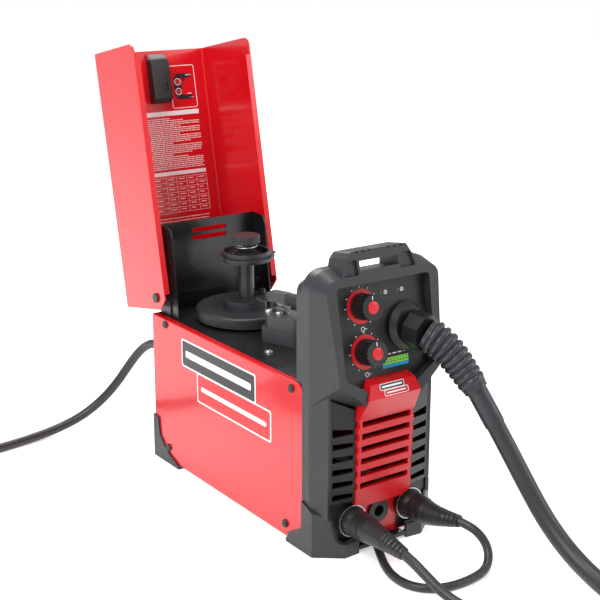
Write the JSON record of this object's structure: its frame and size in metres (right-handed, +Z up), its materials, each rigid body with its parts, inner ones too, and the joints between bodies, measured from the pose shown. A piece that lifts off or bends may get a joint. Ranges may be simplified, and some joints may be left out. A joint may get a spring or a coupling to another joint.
{
  "type": "mig welding machine",
  "caption": "Portable wire-feed welder: steel case with hinged lid over spool holder and wire drive, moulded front with dials, gun cable, work clamp and mains cord.",
  "frame": {"origin": "on the floor below the middle of the machine, cords not counted", "axes": "+X to the machine's right, +Y to its rear, +Z up"},
  "size_m": [0.5277, 0.9733, 0.4873],
  "materials": {
    "red_paint": "gloss, fine orange peel",
    "black_paint": "satin",
    "zinc_steel": "dull zinc",
    "dark_screw": "black oxide",
    "grey_plastic": "fine texture",
    "black_plastic": "fine texture",
    "red_plastic": "satin",
    "knob_plastic": "satin",
    "light_plastic": "fine texture",
    "board": "satin",
    "brass": "satin",
    "steel": "turned",
    "motor_metal": "satin",
    "copper_core": "varnished",
    "black_rubber": "matte",
    "grey_rubber": "satin"
  },
  "bodies": {
    "case": {"base_pan": "zinc_steel", "left_side_panel": "red_paint", "right_side_panel": "red_paint", "rear_panel": "black_paint", "deck_plate": "black_paint", "hinge_bracket": "black_paint", "rear_bulkhead": "black_paint", "case_screws": "dark_screw", "front_bezel": "grey_plastic", "control_panel": "black_plastic", "control_board": "board", "nose_grille": "red_plastic", "side_louvres": "black_plastic", "socket_plate": "red_paint", "socket_tray": "black_plastic", "output_sockets": "black_plastic", "front_grommets": "black_rubber", "front_feet": "grey_plastic", "rear_feet": "grey_plastic", "gun_socket": "black_plastic", "hinge_screws": "dark_screw", "spindle_stud": "grey_plastic", "drive_housing": "light_plastic", "gearmotor": "motor_metal", "wire_guides": "steel", "inverter_board": "board", "transformer": "copper_core", "fan_frame": "black_plastic", "power_switch": "black_plastic", "cord_gland": "black_rubber", "power_cord": "black_rubber", "power_coil": "black_rubber", "power_plug": "black_rubber", "gun_boot": "grey_rubber", "gun_cable": "black_rubber", "gun_coil": "black_rubber", "gun_handle": "black_plastic", "gun_neck": "steel", "work_plug": "black_rubber", "polarity_plug": "black_rubber", "work_lead": "black_rubber", "work_coil": "black_rubber", "polarity_lead": "black_rubber", "clamp_lower": "steel"},
    "lid": {"lid_shell": "red_paint", "latch_housing": "black_plastic"},
    "bolt": {"latch_bolt": "light_plastic"},
    "upper_dial": {"upper_knob": "knob_plastic"},
    "lower_dial": {"lower_knob": "knob_plastic"},
    "spool": {"spool_disc": "grey_plastic"},
    "retainer": {"retaining_ring": "grey_plastic"},
    "brake": {"brake_nut": "grey_plastic"},
    "feed_roll": {"drive_roll": "steel"},
    "arm": {"pressure_arm": "light_plastic"},
    "idler": {"pressure_roll": "steel"},
    "tension": {"tension_knob": "grey_plastic"},
    "fan": {"fan_rotor": "black_plastic"},
    "rocker": {"switch_rocker": "black_plastic"},
    "trigger": {"gun_trigger": "red_plastic"},
    "jaw": {"clamp_upper": "steel"}
  },
  "joints": [
    {"name": "lid_hinge", "type": "hinge", "parent": "case", "child": "lid", "pos_m": [0, 0.103, 0.2013], "axis": [1, 0, 0], "range_deg": [0, 101.2]},
    {"name": "latch_slide", "type": "slide", "parent": "lid", "child": "bolt", "axis": [0, -0.1977, -0.9803], "range_m": [0, 0.006], "stiffness_N_per_m": 250, "springref_m": -0.004},
    {"name": "upper_dial_turn", "type": "hinge", "parent": "case", "child": "upper_dial", "pos_m": [-0.0234, -0.21421, 0.25869], "axis": [0, -0.9864, 0.1641], "range_deg": [-105, 165]},
    {"name": "lower_dial_turn", "type": "hinge", "parent": "case", "child": "lower_dial", "pos_m": [-0.023, -0.22168, 0.21377], "axis": [0, -0.9864, 0.1641], "range_deg": [-105, 165]},
    {"name": "spool_spin", "type": "hinge", "parent": "case", "child": "spool", "pos_m": [0.007, 0.0407, 0.19], "axis": [0, 0, 1], "continuous": true},
    {"name": "retainer_spin", "type": "hinge", "parent": "case", "child": "retainer", "pos_m": [0.007, 0.0407, 0.25], "axis": [0, 0, 1], "continuous": true},
    {"name": "brake_turn", "type": "hinge", "parent": "case", "child": "brake", "pos_m": [0.007, 0.0407, 0.272], "axis": [0, 0, 1], "range_deg": [-180, 180]},
    {"name": "feed_spin", "type": "hinge", "parent": "case", "child": "feed_roll", "pos_m": [-0.00414, -0.04711, 0.2024], "axis": [0.9468, 0.3219, 0], "continuous": true},
    {"name": "arm_swing", "type": "hinge", "parent": "case", "child": "arm", "pos_m": [-0.00832, -0.0348, 0.225], "axis": [0.9468, 0.3219, 0], "range_deg": [-60, 0]},
    {"name": "idler_spin", "type": "hinge", "parent": "arm", "child": "idler", "pos_m": [-0.00414, -0.04711, 0.2213], "axis": [0.9468, 0.3219, 0], "continuous": true},
    {"name": "tension_turn", "type": "hinge", "parent": "arm", "child": "tension", "pos_m": [0.00134, -0.06321, 0.225], "axis": [0.3219, -0.9468, 0], "range_deg": [-180, 180]},
    {"name": "fan_spin", "type": "hinge", "parent": "case", "child": "fan", "pos_m": [0.014, 0.1077, 0.072], "axis": [0, 1, 0], "continuous": true},
    {"name": "rocker_tilt", "type": "hinge", "parent": "case", "child": "rocker", "pos_m": [0.038, 0.1162, 0.14], "axis": [1, 0, 0], "range_deg": [-16, 0]},
    {"name": "trigger_squeeze", "type": "hinge", "parent": "case", "child": "trigger", "pos_m": [-0.117, -0.6853, 0.0533], "axis": [0, 0, -1], "range_deg": [0, 4], "stiffness_Nm_per_rad": 0.4, "springref_deg": -8.59},
    {"name": "jaw_open", "type": "hinge", "parent": "case", "child": "jaw", "pos_m": [-0.12, -0.4273, 0.03], "axis": [0, 0, 1], "range_deg": [0, 20], "stiffness_Nm_per_rad": 0.8, "springref_deg": -17.19}
  ]
}
